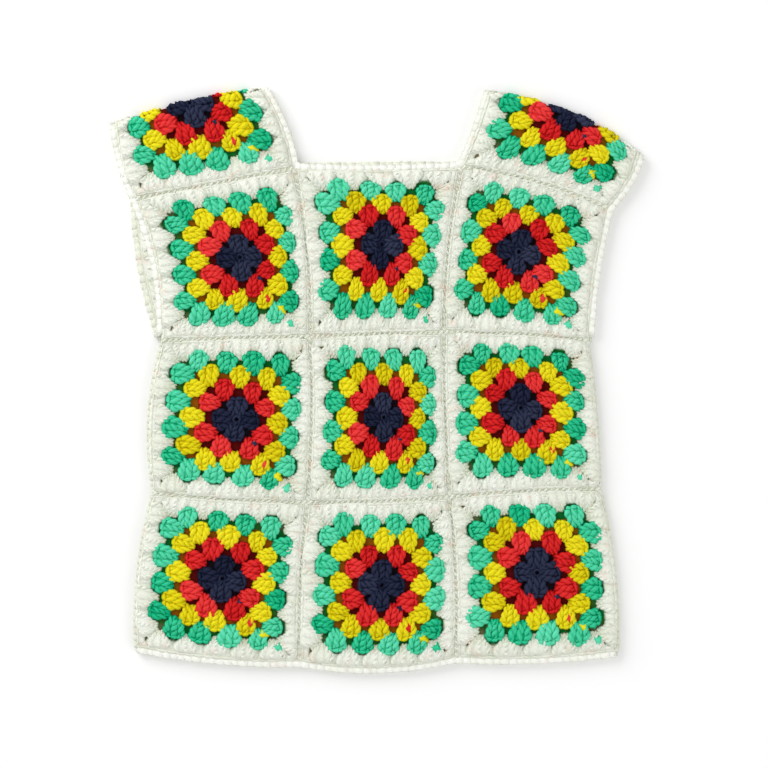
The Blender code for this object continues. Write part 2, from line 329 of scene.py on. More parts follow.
def ground_material():
    """What shows between the clusters: each round's own yarn in deep shade, painted into the
    colour.
    """
    material, shader, t = start_material("cloth_between_stitches")
    x, y = (t.axis(t.chart(), k).math("ABSOLUTE") for k in (0, 1))
    mottle = t.noise(t.place(), 400.0, 3.0)
    patches = t.noise(t.place(), 60.0, 1.0)
    reach = x.math("MAXIMUM", y) + (mottle - 0.5) * 2.5
    inward = x.math("MINIMUM", y)
    tone = opaque(SHADED_GROUND_TONES[0].colour)
    for ring in SHADED_GROUND_TONES[1:]:
        tone = t.mix(((reach - ring.start) * 0.7).clipped(), tone, ring.colour)
    coloured = (WHITE_START - reach).clipped()
    # Painted shade: olive and khaki in the pockets between the coloured rounds, and deep shade at
    # random
    olive = ((patches - 0.5) * 5).clipped() * coloured * ((reach - 24) * 0.5).clipped()
    tone = t.mix(olive * 0.4, tone, SHADED_OLIVE)
    corner = ((inward - 36) * 0.4).clipped() * coloured
    tone = t.mix(corner * (patches * 1.8).clipped() * 0.9, tone, SHADED_KHAKI)
    tone = t.mix(mottle * 0.5 * coloured, tone, DEEP_SHADE)
    tone = t.mix((inward - 42.5).clipped() * 0.8, tone, SHADED_GROUND_TONES[-1].colour)
    # Painted shade: the back's white seen in shadow through the corner holes, as tan
    hole = (inward - 46.5).clipped() * (53.2 - reach).clipped()
    shaded_tan = t.mix(((patches - 0.4) * 4).clipped(), SHADED_DARK_TAN, SHADED_LIGHT_TAN)
    t.fill(shader, {
        "Base Color": t.mix(hole * 0.9, tone, shaded_tan),
        "Normal": t.bump(mottle, 0.0006),
        "Roughness": 0.95,
        "Specular IOR Level": 0.05,
    })
    return material


# Painted shade colours: olive, khaki and deep shade in the pockets, and tan for the back's white
# seen in shadow through the holes
SHADED_OLIVE, SHADED_KHAKI, DEEP_SHADE = (0.16, 0.16, 0.01), (0.20, 0.18, 0.08), (0.01, 0.008, 0.008)
SHADED_DARK_TAN, SHADED_LIGHT_TAN = (0.24, 0.20, 0.09), (0.50, 0.31, 0.15)

# The ground's colours, each round's yarn painted in deep shade, each from a distance from the
# square's centre, in millimetres
Tone = namedtuple("Tone", "start colour")
WHITE_START = 47.0
SHADED_GROUND_TONES = (
    Tone(0.0, (0.010, 0.006, 0.010)),
    Tone(14.5, (0.130, 0.003, 0.003)),
    Tone(25.5, (0.430, 0.120, 0.001)),
    Tone(35.5, (0.003, 0.190, 0.030)),
    Tone(WHITE_START, (0.66, 0.69, 0.54)),
)


class Square:
    """A granny square in its place: a map from the square's own x, y and height."""

    def __init__(self, sizes, corners, bends, middle, layer):
        self.sizes, self.layer = sizes, layer
        self.corners = [np.array(c, float) for c in corners]
        self.bends = [np.array(b, float) for b in bends]
        self.shift = np.zeros(2)
        if middle:
            self.shift = np.array(middle) - self.blend(np.zeros(1), np.zeros(1))[0]
        self.back = sizes.wall / 2
        self.front = 1.5 * sizes.wall + sizes.layer_gap

    def edge(self, start, end, bend, s):
        s = s[:, None]
        return start * (1 - s) / 2 + end * (1 + s) / 2 + bend * (1 - s * s)

    def blend(self, u, v):
        ll, lr, ul, ur = self.corners
        low, high, left, right = self.bends
        a, b = ((1 + u) / 2)[:, None], ((1 + v) / 2)[:, None]
        level = self.edge(ll, lr, low, u) * (1 - b) + self.edge(ul, ur, high, u) * b
        upright = self.edge(ll, ul, left, v) * (1 - a) + self.edge(lr, ur, right, v) * a
        straight = (ll * (1 - a) + lr * a) * (1 - b) + (ul * (1 - a) + ur * a) * b
        return level + upright - straight

    def plan(self, u, v):
        bulge = ((1 - u * u) * (1 - v * v))[:, None]
        return self.blend(u, v) + self.shift * bulge - np.array(CENTRE)

    def middle(self, x, y):
        """The middle of the cloth, in millimetres."""
        half = self.sizes.square_half
        spot = self.plan(x / half, y / half)
        if self.layer == "front":
            height = self.front + swell_at(spot)
        else:
            height = np.full(len(spot), self.back)
        return np.column_stack([spot, height])

    def loft(self, x, y):
        """How much of a stitch's height this place leaves."""
        if self.layer == "front":
            return np.ones(len(x))
        return np.full(len(x), self.sizes.flat_loft / self.sizes.loft)

    def outward(self, x, y):
        step = 0.25
        across = self.middle(x + step, y) - self.middle(x - step, y)
        along = self.middle(x, y + step) - self.middle(x, y - step)
        normal = np.cross(across, along)
        normal /= np.linalg.norm(normal, axis=1)[:, None]
        return normal if self.layer != "back" else -normal

    def place(self, x, y, z):
        """Points in metres from places in the square and heights off the cloth's middle."""
        height = np.where(z > 0, z * self.loft(x, y), z)[:, None]
        return (self.middle(x, y) + self.outward(x, y) * height) * MM


class ShoulderSquare(Square):
    """A square folded over the shoulder, y running from the front seam over the fold."""

    BEND_REACH = 4.5

    def __init__(self, sizes, corners, bends, fold):
        super().__init__(sizes, corners, bends, None, "shoulder")
        self.shift, self.fold_at = np.array([fold.shift, 0]), FOLDED_AT[fold.name]
        self.radius = (self.front - self.back) / 2
        self.arc = self.radius * math.pi / 2
        self.reach = sizes.square_half - self.arc + self.radius
        self.turns = np.linspace(0, math.pi / 2, 60)
        bend = np.column_stack(
            [self.BEND_REACH * (1 - np.cos(self.turns)), self.radius * np.sin(self.turns)]
        )
        steps = np.linalg.norm(np.diff(bend, axis=0), axis=1)
        self.arcs = np.concatenate([[0], np.cumsum(steps)])

    def plan(self, u, v):
        spread = ((1 - u**2) * (1 - u**4) * (1 - (1 - v) ** 2 / 4))[:, None]
        return self.blend(u, v) + self.shift * spread - np.array(CENTRE)

    def middle(self, x, y):
        half = self.sizes.square_half
        past = y - self.fold_at
        far = np.abs(past) * half / np.where(past < 0, half + self.fold_at, half - self.fold_at)
        turn = np.interp(far, self.arcs, self.turns)
        from_fold = self.BEND_REACH * (1 - np.cos(turn))
        beyond = np.maximum((far - self.arcs[-1]) / (half - self.arcs[-1]), 0)
        from_fold += beyond * (self.reach - self.BEND_REACH)
        spot = self.plan(x / half, 1 - 2 * from_fold / self.reach)
        side = np.sin(turn) * np.where(past > 0, -1, 1)
        height = (self.front + self.back) / 2 + side * self.radius
        height += np.maximum(side, 0) * swell_at(spot)
        return np.column_stack([spot, height])

    def loft(self, x, y):
        past = y - self.fold_at
        flat = np.clip(past / 5, 0, 1)
        bent = np.exp(-(past ** 2) / 20) * (1 - flat)
        return (1 - 0.4 * bent) * (1 - flat * (1 - self.sizes.flat_loft / self.sizes.loft))


class InnerFace:
    """The face of a square that lies towards the other layer."""

    def __init__(self, square):
        self.square = square

    def place(self, x, y, z):
        out = self.square.outward(x, y) * (-0.6 * z)[:, None]
        return (self.square.middle(x, y) + out) * MM


def swell_at(spot):
    """How far the front cloth rises over these places."""
    rise = np.zeros(len(spot))
    for s in SWELLS:
        across = (spot[:, 0] + CENTRE[0] - s.x) / s.half_width
        along = (spot[:, 1] + CENTRE[1] - s.y) / s.half_length
        rise += s.height * np.exp(-across * across - along * along)
    return rise


def lay_squares(sizes):
    """Every square of the vest by layer, row and column, and the shoulders by side."""
    at = {(c.line, c.level): (c.x, c.y) for c in CORNERS}
    middle = {(m.row, m.column): (m.x, m.y) for m in MIDDLES}
    squares = {}
    for layer in ("front", "back"):
        upright = {(s.line, s.row): (getattr(s, layer), 0) for s in UPRIGHTS}
        level = {(s.level, s.column): (0, getattr(s, layer)) for s in LEVELS}
        for row in (1, 2, 3):
            for column in (1, 2, 3):
                lines = (column - 1, column)
                corners = [at[line, end] for end in (row, row - 1) for line in lines]
                bends = [level[row, column], level[row - 1, column]]
                bends += [upright[line, row] for line in lines]
                place = middle[row, column]
                squares[layer, row, column] = Square(sizes, corners, bends, place, layer)
    seam = {s.column: s.front for s in LEVELS if s.level == 0}
    for fold in FOLDS:
        corners = [at[fold.column - 1, 0], at[fold.column, 0]]
        corners += [(fold.x1, fold.y1), (fold.x2, fold.y2)]
        bends = [(0, seam[fold.column]), (0, fold.rise), (fold.left_bend, 0), (fold.right_bend, 0)]
        squares["shoulder", fold.name] = ShoulderSquare(sizes, corners, bends, fold)
    return squares


class Strip:
    """A closed strip of edging: a map from the way along it, across it and off the cloth."""

    def __init__(self, stations):
        edge, across, off = (np.array([s[k] for s in stations]) for k in range(3))
        edge, across, off = (np.vstack([a, a[:1]]) for a in (edge, across, off))
        self.edge, self.across, self.off = edge, across, off
        steps = np.linalg.norm(np.diff(edge + across * 2, axis=0), axis=1)
        self.along = np.concatenate([[0], np.cumsum(steps)])
        self.length = self.along[-1]

    def place(self, x, y, z):
        x = np.mod(x, self.length)
        edge, across, off = (
            np.column_stack([np.interp(x, self.along, a[:, k]) for k in range(3)])
            for a in (self.edge, self.across, self.off)
        )
        off /= np.linalg.norm(off, axis=1)[:, None]
        return (edge + across * y[:, None] + off * z[:, None]) * MM


def stations_along(square, side, places):
    """Where a strip meets one edge of a square: the edge, the way across and off."""
    half = square.sizes.square_half
    places = np.array(places, float)
    x = np.full(len(places), side[0] * half) if side[0] else places
    y = np.full(len(places), side[1] * half) if side[1] else places
    edge = square.middle(x, y)
    across = square.middle(x + side[0], y + side[1]) - edge
    across /= np.linalg.norm(across, axis=1)[:, None]
    return list(zip(edge, across, square.outward(x, y)))


def mitred(before, after):
    """The station at a corner between two stretches."""
    (edge1, across1, off1), (edge2, across2, off2) = before, after
    across = (across1 + across2) / (1 + across1 @ across2)
    off = off1 + off2
    return ((edge1 + edge2) / 2, across, off / np.linalg.norm(off))


def side_turn(last, towards, radius, height, going_down):
    """Stations round the side, from one layer to the other."""
    hinge = np.array([last[0][0], last[0][1], height])
    angles = [math.radians(a) for a in (60, 20, -20, -60)]
    found = []
    for angle in angles if going_down else reversed(angles):
        off = np.array(towards) * math.cos(angle) + np.array([0, 0, 1]) * math.sin(angle)
        found.append((hinge + off * radius, last[1], off))
    return found


def mitred_runs(runs, half, closed=False):
    """The stations of runs along squares' edges, each forward or backward, mitred between."""
    stations = []
    for k, (square, side, places, way) in enumerate(runs):
        stations += stations_along(square, side, places[::way])
        if closed or k + 1 < len(runs):
            after, after_side, _, after_way = runs[(k + 1) % len(runs)]
            end = stations_along(square, side, [way * half])[0]
            start = stations_along(after, after_side, [-after_way * half])[0]
            stations.append(mitred(end, start))
    return stations


def edging_strips(sizes, squares):
    """The neck, the two armholes and the hem, each as a closed strip."""
    half, step = sizes.square_half, sizes.cluster_step
    grid = [n * step for n in range(-5, 6)]
    left, right = squares["shoulder", "left"], squares["shoulder", "right"]
    radius, height = left.radius, (left.front + left.back) / 2

    def over(strap):
        fold = [strap.fold_at + strap.arcs[-1] * k / 3 for k in range(-3, 4)]
        return grid[:5] + fold + grid[6:]

    front, back = squares["front", 1, 2], squares["back", 1, 2]
    neck = [(front, UP, grid, 1), (right, LEFT, over(right), 1)]
    neck += [(back, UP, grid, -1), (left, RIGHT, over(left), -1)]
    strips = {"neck_edging": mitred_runs(neck, half, closed=True)}

    for name, column, side, strap in (("left", 1, LEFT, left), ("right", 3, RIGHT, right)):
        front, back = squares["front", 1, column], squares["back", 1, column]
        runs = [(front, side, grid, 1), (strap, side, over(strap), 1), (back, side, grid, -1)]
        hole = mitred_runs(runs, half)
        hole += side_turn(hole[-1], (0, -1, 0), radius, height, False)
        strips[f"armhole_edging_{name}"] = hole

    end = half - radius - sizes.wall / 2
    rows = {1: [-end, *grid, half], 2: [*grid, half], 3: [*grid, end]}
    hem = []
    for layer, columns, way in (("front", (1, 2, 3), 1), ("back", (3, 2, 1), -1)):
        for column in columns:
            hem += stations_along(squares[layer, 3, column], DOWN, rows[column][::way])
        hem += side_turn(hem[-1], (way, 0, 0), radius, height, way > 0)
    strips["hem_edging"] = hem
    return {name: Strip(stations) for name, stations in strips.items()}


def across_path(path):
    """The level side and the rise at each point of a path."""
    way = np.gradient(path, axis=0)
    way /= np.linalg.norm(way, axis=1)[:, None]
    side = np.cross(way, [0, 0, 1.0])
    side /= np.linalg.norm(side, axis=1)[:, None]
    return side, np.cross(side, way)


class YarnMesh:
    """Collects strands of yarn, in millimetres, as one mesh with its own map along them."""

    def __init__(self):
        self.points, self.faces, self.uvs = [], [], []

    def tube(self, rings, along, around):
        """A tube closed at both ends, with its map's values along it and around it."""
        sides = len(around) - 1
        first = len(self.points)
        self.points += [spot for ring in rings for spot in ring]
        for k in range(len(rings) - 1):
            for m in range(sides):
                n = (m + 1) % sides
                a, b = first + k * sides, first + (k + 1) * sides
                self.faces.append((a + m, a + n, b + n, b + m))
                low, high = around[m], around[m + 1]
                start, end = along[k], along[k + 1]
                self.uvs += [(start, low), (start, high), (end, high), (end, low)]
        for k, order in ((0, range(sides)[::-1]), (len(rings) - 1, range(sides))):
            self.faces.append(tuple(first + k * sides + m for m in order))
            self.uvs += [(along[k], around[m]) for m in order]

    def strand(self, path, radii, sides, start=0.0, tall=1.0):
        """A strand along a path.

        start shifts the twist of its plies, and tall is its height for its width.
        """
        path = np.array(path, float)
        radii = np.broadcast_to(radii, len(path))
        side, rise = across_path(path)
        steps = np.linalg.norm(np.diff(path, axis=0), axis=1)
        turns = np.arange(sides) * 2 * math.pi / sides
        rings = []
        for spot, out, up, radius in zip(path, side, rise, radii):
            ring = [spot + (out * math.cos(a) + up * math.sin(a) * tall) * radius for a in turns]
            rings.append(ring)
        along = start + np.concatenate([[0], np.cumsum(steps)])
        self.tube(rings, along, [m / sides for m in range(sides + 1)])

    def bent(self, points, count, *strand):
        """A strand along a smooth curve through a few points."""
        self.strand(smooth_path(points, count), *strand)

    def pair(self, path, radii, swing, turns, sides, start=0.0):
        """Two strands wound round a path."""
        side, rise = across_path(path)
        angle = start + np.linspace(0, turns * 2 * math.pi, len(path))
        swing = np.broadcast_to(swing, len(path))[:, None]
        for phase in (0, math.pi):
            a = (angle + phase)[:, None]
            spread = (side * np.cos(a) + rise * np.sin(a) * 0.75) * swing
            self.strand(path + spread, radii, sides, start * 3 + phase)

    def body(self, outline, sides, height=1.2):
        """The soft mass under a stitch, from rows of y, half width and z."""
        turns = np.arange(sides) * 2 * math.pi / sides
        rings = [
            [np.array([half * math.cos(a), y, z + height * math.sin(a)]) for a in turns]
            for y, half, z in outline
        ]
        self.tube(rings, [row[0] for row in outline], [*range(sides), 0])

    def mesh(self, name):
        data = bpy.data.meshes.new(name)
        data.from_pydata([tuple(p * MM) for p in self.points], [], self.faces)
        layer = data.uv_layers.new(name="yarn")
        layer.data.foreach_set("uv", np.array(self.uvs, float).ravel())
        data.shade_smooth()
        return data


def smooth_path(points, count):
    """A smooth curve through a few points."""
    points = np.array(points, float)
    grid = np.linspace(0, len(points) - 1, count)
    k = np.clip(grid.astype(int), 0, len(points) - 2)
    t = (grid - k)[:, None]
    before = points[np.maximum(k - 1, 0)]
    after = points[np.minimum(k + 2, len(points) - 1)]
    a, b = points[k], points[k + 1]
    return (
        a
        + t * (b - before) / 2
        + t * t * (before - 2.5 * a + 2 * b - after / 2)
        + t * t * t * (1.5 * (a - b) + (after - before) / 2)
    )


def cluster(sizes, detail, rng):
    """Three tall stitches fanning from one space, closed by the loops at their heads."""
    yarn = YarnMesh()
    outline = (
        (0.0, 2.8, 0.3), (2.5, 4.4, 0.8), (6.0, 5.9, 1.1),
        (9.5, 6.5, 1.1), (12.6, 5.6, 0.8), (14.3, 3.2, 0.5),
    )
    yarn.body(outline, detail.sides + 2)
    for i in (-1, 0, 1):
        lean = rng.uniform(-0.45, 0.45)
        path = smooth_path(
            [
                (i * 2.1, -0.3, 0.1),
                (i * 3.0 + lean * 0.3, 2.8, 1.5),
                (i * 4.1 + lean, 6.0, 2.1),
                (i * 4.8 + lean, 9.2, 2.1),
                (i * 4.9, 12.6 - abs(i) * 1.2, 1.2),
            ],
            detail.post_rings,
        )
        grow = np.linspace(1.0, 1.15, len(path)) * rng.uniform(0.94, 1.06)
        twist = rng.uniform(-1.4, 1.4)
        winding = (i or rng.choice((-1, 1))) * rng.uniform(1.25, 1.75)
        yarn.pair(path, sizes.strand * 1.22 * grow, 1.1 * grow, winding, detail.sides, twist)

    def over(s, out, z):
        angle = math.pi / 2 - s * math.radians(98)
        x, y = math.cos(angle), math.sin(angle)
        x, y = (math.copysign(abs(c) ** 0.75, c) for c in (x, y))
        return ((5.2 + out) * x, 9.3 + (4.5 + out) * y, z)

    pitch = 2 / detail.caps
    for k in range(detail.caps):
        s = -1 + (k + 0.5) * pitch + rng.uniform(-0.05, 0.05)
        drop = 0.7 * s * s
        lean = rng.choice((-1, 1)) * rng.uniform(0.5, 1.1)
        loop = [
            over(s - 0.55 * pitch, -lean, 1.0 - drop),
            over(s - 0.1 * pitch, rng.uniform(0.0, 0.6), 2.3 - drop),
            over(s + 0.55 * pitch, lean, 1.1 - drop),
        ]
        radii = sizes.strand * np.array([0.9, 1.3, 1.4, 1.3, 0.9])[:detail.link_rings]
        yarn.bent(loop, detail.link_rings, radii, detail.sides, k)
    return yarn


def centre_ring(sizes, detail, rng):
    """The ring of chain at a square's centre."""
    yarn = YarnMesh()
    angles = np.linspace(0, 2 * math.pi * 1.06, detail.post_rings + 2)
    wave = rng.uniform(-0.2, 0.2, len(angles))
    path = np.column_stack(
        [(2.3 + wave) * np.cos(angles), (2.3 - wave) * np.sin(angles), 1.5 + 0.3 * np.sin(angles)]
    )
    yarn.strand(path, sizes.strand, detail.sides, rng.uniform(0, 9))
    return yarn


def white_cluster(sizes, detail, rng):
    """The last round's cluster, which spreads out level to the chain along the side."""
    yarn = YarnMesh()
    outline = (
        (0.0, 2.6, 0.0), (2.6, 4.4, 0.5), (5.2, 7.2, 1.4),
        (7.4, 9.8, 1.8), (9.4, 11.0, 1.8), (13.6, 11.0, 1.2),
    )
    yarn.body(outline, detail.sides + 3)
    for i in (-1, 0, 1):
        lean = rng.uniform(-0.6, 0.6)
        path = smooth_path(
            [
                (i * 1.9, -0.3, -0.3),
                (i * 2.8 + lean * 0.3, 2.8, 0.7),
                (i * 4.7 + lean, 6.0, 1.7),
                (i * 6.4 + lean, 9.0, 1.9),
                (i * 7.0, 12.2, 1.5),
            ],
            detail.post_rings,
        )
        grow = np.linspace(0.9, 1.25, len(path))
        twist = rng.uniform(-1.4, 1.4)
        winding = (i or rng.choice((-1, 1))) * rng.uniform(1.9, 2.5)
        yarn.pair(path, sizes.strand * 1.15 * grow, grow, winding, detail.sides, twist)
    return yarn


def chain_link(sizes, detail, rng):
    """One V of a chain, along x, on the broad bed of the stitches that it closes."""
    yarn = YarnMesh()
    length = sizes.chain_link
    for side in (-1, 1):
        wave = rng.uniform(-0.15, 0.15)
        leg = [
            (-length * 0.62, side * 0.3, 0.9),
            (-length * 0.25, side * (1.2 + wave), 1.5),
            (length * 0.2, side * 1.1, 1.7),
            (length * 0.6, side * 0.2, 1.2),
        ]
        yarn.bent(leg, detail.link_rings, sizes.strand * 1.05, detail.sides, rng.uniform(0, 9))
    yarn.strand([(-length * 0.52, -2.4, 0.4), (length * 0.52, -2.4, 0.4)], 5.0, 8, 0, 0.4)
    return yarn


def seam_cord(sizes, detail, rng):
    """A piece of the cord along a square's side."""
    yarn = YarnMesh()
    rise = rng.uniform(-0.1, 0.1)
    yarn.strand([(-2.6, 0, 0.35 + rise), (2.6, 0, 0.35 - rise)], 1.5, 6, 0, 0.7)
    return yarn


def seam_stitch(sizes, detail, rng):
    """A slanting stitch low between two chains, along x."""
    yarn = YarnMesh()
    slant = rng.uniform(-0.3, 0.3)
    path = [(-1.7 + slant, -1.6, 0.8), (0, 0, 1.5), (1.7, 1.6, 0.8)]
    yarn.bent(path, 4, sizes.strand * 0.8, detail.sides, rng.uniform(0, 9))
    return yarn


def corner_chain(sizes, detail, rng):
    """The short arch between the two clusters of a corner, along the diagonal."""
    yarn = YarnMesh()
    yarn.body([(0.0, 2.2, 0.1), (2.0, 3.2, 0.5), (4.6, 4.4, 0.6), (6.6, 4.0, 0.3)], 6)
    for i in (-1, 1):
        leg = [(i * 0.8, -0.4, 0.5), (i * 1.6, 2.2, 1.6), (i * 3.0, 4.6, 1.6), (i * 4.6, 6.8, 0.8)]
        yarn.bent(leg, 5, sizes.strand, detail.sides, rng.uniform(0, 9))
    bridge = [(-3.6, 5.4, 0.9), (0, 6.0, 1.9), (3.6, 5.4, 0.9)]
    yarn.bent(bridge, 5, sizes.strand * 0.9, detail.sides, rng.uniform(0, 9))
    return yarn


def knot(sizes, detail, rng):
    """The small knot where one colour was joined to the next."""
    yarn = YarnMesh()
    for turn in (0.6, -0.8):
        bend = rng.uniform(-0.5, 0.5)
        x, y = 2.7 * math.cos(turn), 2.7 * math.sin(turn)
        loop = [(-x, -y, 0.5), (bend, -bend, 3.2 + turn * 0.6), (x, y, 0.8)]
        yarn.bent(loop, 6, sizes.strand * 1.35, detail.sides, rng.uniform(0, 9))
    return yarn


def edging_stitch(sizes, detail, rng):
    """One single crochet: a short post from the panel and its V along the rim."""
    yarn = YarnMesh()
    length = sizes.chain_link
    width = sizes.edging_width
    core = [(place * length, width * 0.34, 0) for place in (-0.62, 0, 0.62)]
    yarn.strand(core, width * 0.64, detail.sides + 5, 0, 0.6)
    for side in (-1, 1):
        post = [
            (side * length * 0.17 - 0.9, -1.2, 0.0),
            (side * length * 0.22, 0.8, 0.7),
            (side * length * 0.26 + 0.8, width - 1.5, 0.3),
        ]
        yarn.bent(post, 4, sizes.strand * 0.9, detail.sides, rng.uniform(0, 9))
    rim = width - sizes.strand
    for low, high in ((-0.85, 0.2), (0.55, 0.3)):
        leg = [
            (-length * 0.6, rim + high - 0.3, low * 0.2),
            (-length * 0.2, rim + low * 0.4, 0.2 + low),
            (length * 0.3, rim + low * 0.3 + 0.1, 0.25 + low),
            (length * 0.6, rim + high - 0.4, low * 0.2),
        ]
        yarn.bent(leg, detail.link_rings, sizes.strand, detail.sides, rng.uniform(0, 9))
    return yarn


# How finely stitches are made: a strand's sides, the rings along a post, the loops over a
# cluster's head and the rings along a link
Detail = namedtuple("Detail", "sides post_rings caps link_rings")
FINE = Detail(4, 13, 5, 5)
PLAIN = Detail(3, 5, 3, 4)
# How many uneven copies of each stitch there are
VARIANTS = 4


def stitch_patterns(name, make, sizes, detail):
    """A hidden collection with a few uneven copies of one stitch."""
    rng = np.random.default_rng(sizes.seed)
    collection = bpy.data.collections.new(name)
    for k in range(VARIANTS):
        data = make(sizes, detail, rng).mesh(f"{name}_{k}")
        collection.objects.link(bpy.data.objects.new(f"{name}_{k}", data))
    return collection


def stitch_tree():
    """Geometry nodes that work a stitch at every point of a chart."""
    group = bpy.data.node_groups.new("Stitches on a Chart", "GeometryNodeTree")
    sockets = (
        ("Chart", "NodeSocketGeometry", None),
        ("Stitches", "NodeSocketCollection", None),
        ("Wobble", "NodeSocketFloat", 0.06),
        ("Unevenness", "NodeSocketFloat", 0.05),
        ("Seed", "NodeSocketInt", 0),
        ("Yarn", "NodeSocketMaterial", None),
    )
    for name, kind, default in sockets:
        item = group.interface.new_socket(name, in_out="INPUT", socket_type=kind)
        if default is not None:
            item.default_value = default
    group.interface.new_socket("Cloth", in_out="OUTPUT", socket_type="NodeSocketGeometry")
    t = Tree(group)
    given = {
        name: t.add("NodeGroupInput", {}, {}, k) for k, (name, _, _) in enumerate(sockets)
    }

    def uneven(low, high, offset, kind="FLOAT"):
        low_key, high_key = (2, 3) if kind == "FLOAT" else (4, 5)
        return t.add(
            "FunctionNodeRandomValue",
            {"data_type": kind},
            {low_key: low, high_key: high, 8: given["Seed"] + offset},
            1 if kind == "FLOAT" else 2,
        )

    turn = t.add("GeometryNodeInputNamedAttribute", {"data_type": "FLOAT"}, {"Name": "turn"})
    size = t.add("GeometryNodeInputNamedAttribute", {"data_type": "FLOAT_VECTOR"}, {"Name": "size"})
    turn = turn + uneven(-1.0, 1.0, 1) * given["Wobble"]
    euler = t.add("ShaderNodeCombineXYZ", {}, {2: turn})
    rotation = t.add("FunctionNodeEulerToRotation", {}, {0: euler})
    grow = uneven(-1.0, 1.0, 2) * given["Unevenness"] + 1
    scale = t.add("ShaderNodeVectorMath", {"operation": "SCALE"}, {0: size, "Scale": grow})
    stitches = t.add(
        "GeometryNodeCollectionInfo",
        {"transform_space": "ORIGINAL"},
        {0: given["Stitches"], 1: True, 2: True},
    )
    placed = t.add(
        "GeometryNodeInstanceOnPoints",
        {},
        {
            "Points": given["Chart"],
            "Instance": stitches,
            "Pick Instance": True,
            "Instance Index": uneven(0, VARIANTS - 1, 3, "INT"),
            "Rotation": rotation,
            "Scale": scale,
        },
    )
    shaded = t.add(
        "GeometryNodeStoreNamedAttribute",
        {"data_type": "FLOAT", "domain": "INSTANCE"},
        {"Geometry": placed, "Name": "shade", "Value": uneven(0.0, 1.0, 4)},
    )
    real = t.add("GeometryNodeRealizeInstances", {}, {0: shaded})
    finished = t.add("GeometryNodeSetMaterial", {}, {0: real, "Material": given["Yarn"]})
    t.add("NodeGroupOutput", {}, {0: finished})
    return group


Stitch = namedtuple("Stitch", "x y turn width height loft")


def stitch_at(x, y, turn, width=1.0, height=1.0, loft=1.0, lean=0.0):
    """A stitch at x and y of a chart that is turned, itself leaning a little more."""
    across = x * math.cos(turn) - y * math.sin(turn)
    up = x * math.sin(turn) + y * math.cos(turn)
    return Stitch(across, up, turn + lean, width, height, loft)


# Height above the ground, in millimetres, below which stitches are pressed flat
PRESSED = 0.7

# How unevenly each kind of stitch is turned and sized, and how high it must lie to be painted in
# full light; lower parts are painted in shade
Hand = namedtuple("Hand", "wobble unevenness rise")
HANDS = {
    "cluster": Hand(0.09, 0.07, 2.6),
    "ring": Hand(1.5, 0.07, 2.6),
    "chain": Hand(0.03, 0.03, 1.9),
    "cord": Hand(0.02, 0.03, 1.9),
    "corners": Hand(0.1, 0.03, 1.9),
    "seam": Hand(0.15, 0.08, 1.9),
    "inner chain": Hand(0.03, 0.03, 1.5),
    "rim": Hand(0.04, 0.05, 0.8),
}


def work_stitches(name, charts, patterns, material, seed, hand="cluster"):
    """Works every chart's stitches as one plain mesh, laid where the charts' maps say.

    charts is a list of (map, stitches) and each map has place(x, y, z), and hand names
    the row of HANDS.
    """
    hand = HANDS[hand]
    chart = chart_object(name, [stitches for _, stitches in charts])
    tree = bpy.data.node_groups.get("Stitches on a Chart") or stitch_tree()
    modifier = chart.modifiers.new("stitches", "NODES")
    modifier.node_group = tree
    keys = {item.name: item.identifier for item in tree.interface.items_tree}
    given = {"Stitches": patterns, "Seed": seed, "Yarn": material}
    given.update({"Wobble": hand.wobble, "Unevenness": hand.unevenness})
    for key, value in given.items():
        modifier[keys[key]] = value
    graph = bpy.context.evaluated_depsgraph_get()
    made = bpy.data.meshes.new_from_object(
        chart.evaluated_get(graph), preserve_all_data_layers=True, depsgraph=graph
    )
    bpy.data.objects.remove(chart, do_unlink=True)
    lay_mesh(made, [place for place, _ in charts], hand.rise)
    face_outward(made)
    return add_piece(name, made, material)


def chart_object(name, rows):
    """One point for each stitch, each row of stitches a chart's pitch beside the last."""
    spots, turns, sizes = [], [], []
    for k, stitches in enumerate(rows):
        for s in stitches:
            spots.append(((s.x + k * CHART_PITCH) * MM, s.y * MM, 0))
            turns.append(s.turn)
            sizes.append((s.width, s.height, s.loft))
    data = bpy.data.meshes.new(f"{name}_chart")
    data.from_pydata(spots, [], [])
    data.attributes.new("turn", "FLOAT", "POINT").data.foreach_set("value", turns)
    size = data.attributes.new("size", "FLOAT_VECTOR", "POINT")
    size.data.foreach_set("vector", np.array(sizes, float).ravel())
    chart = bpy.data.objects.new(f"{name}_chart", data)
    bpy.context.collection.objects.link(chart)
    return chart


def lay_mesh(data, places, rise):
    """Moves worked stitches from their charts to the cloth, and notes how deep they lie."""
    points = np.empty(len(data.vertices) * 3)
    data.vertices.foreach_get("co", points)
    points = points.reshape(-1, 3) / MM
    index = np.round(points[:, 0] / CHART_PITCH).astype(int)
    points[:, 0] -= index * CHART_PITCH
    # How high each point lies, by which the yarn is painted lighter or in shade
    depth = np.clip((points[:, 2] - 0.2) / rise, 0, 1)
    laid = np.empty_like(points)
    for k, place in enumerate(places):
        mine = index == k
        if mine.any():
            laid[mine] = place.place(*points[mine].T)
    pressed = PRESSED * MM
    low = np.minimum(laid[:, 2], pressed)
    laid[:, 2] += pressed * np.exp(low / pressed - 1) - low
    data.vertices.foreach_set("co", laid.ravel())
    data.attributes.new("depth", "FLOAT", "POINT").data.foreach_set("value", depth)


def face_outward(data):
    """Turns the faces of closed strands outward, also where a map has mirrored them."""
    form = bmesh.new()
    form.from_mesh(data)
    bmesh.ops.recalc_face_normals(form, faces=form.faces)
    form.to_mesh(data)
    form.free()
    data.update()


def add_piece(name, data, material):
    """Stores a finished mesh as a piece that rides on the vest."""
    data.name = name
    if material.name not in data.materials:
        data.materials.append(material)
    piece = bpy.data.objects.new(name, data)
    bpy.context.collection.objects.link(piece)
    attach(piece, BODY)
    return piece


